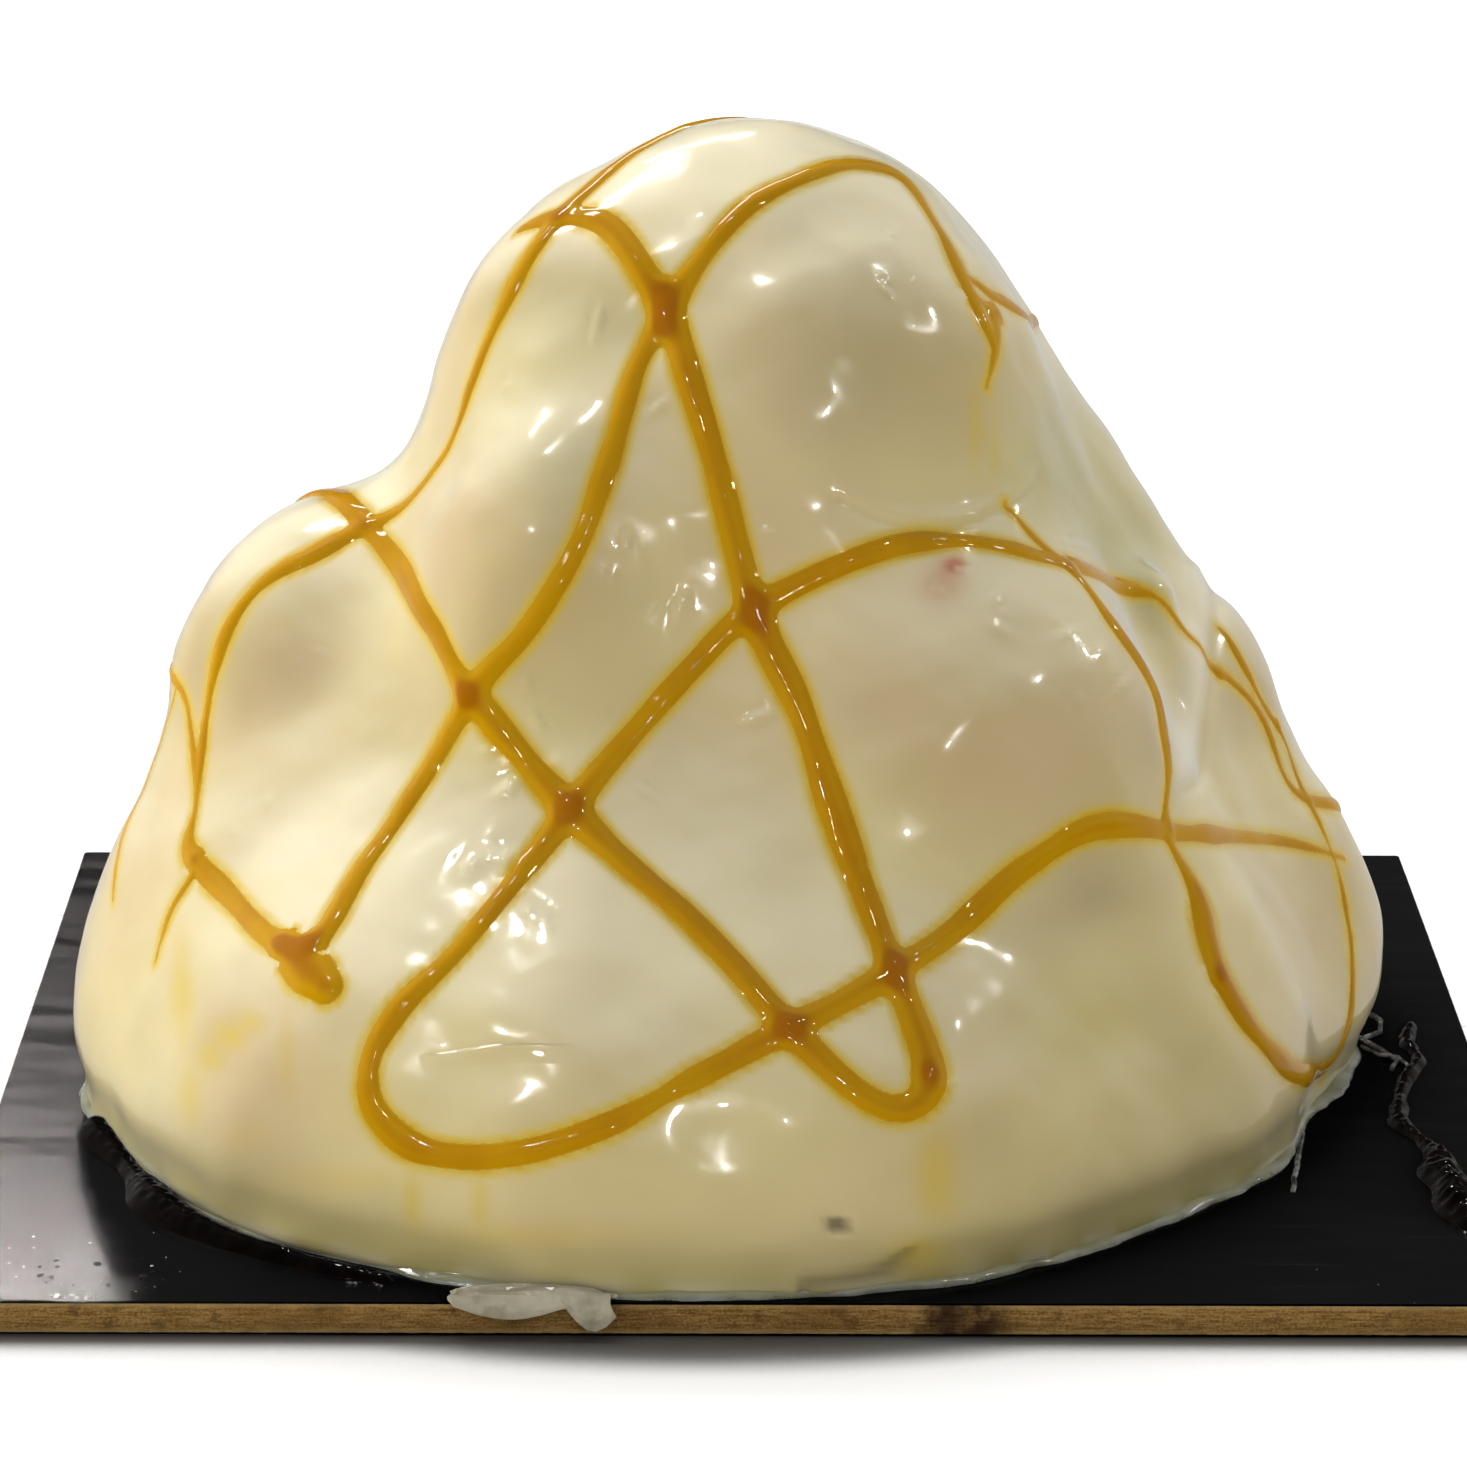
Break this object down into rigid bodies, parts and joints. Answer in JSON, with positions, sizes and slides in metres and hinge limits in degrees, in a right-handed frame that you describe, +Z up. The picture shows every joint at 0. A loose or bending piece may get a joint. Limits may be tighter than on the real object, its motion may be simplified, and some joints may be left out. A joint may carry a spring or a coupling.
{
  "type": "profiterole cake on a cake board",
  "caption": "Mound of cream puffs under a pale poured coat with crossing caramel strands, on a thin black square fibre cake board with spilt chocolate sauce.",
  "frame": {"origin": "centre of the board's underside", "axes": "+Z up, -Y towards the viewer of the cake's front, +X to the viewer's right"},
  "size_m": [0.2, 0.2024, 0.1345],
  "materials": {
    "coat": "wet gloss",
    "board": "black film over brown fibre, satin",
    "chocolate_sauce": "wet gloss",
    "coat_scrap": "wet gloss"
  },
  "bodies": {
    "root": {"coated_cake": "coat", "board": "board", "sauce_left": "chocolate_sauce", "sauce_right": "chocolate_sauce", "coat_scrap": "coat_scrap"}
  },
  "joints": []
}
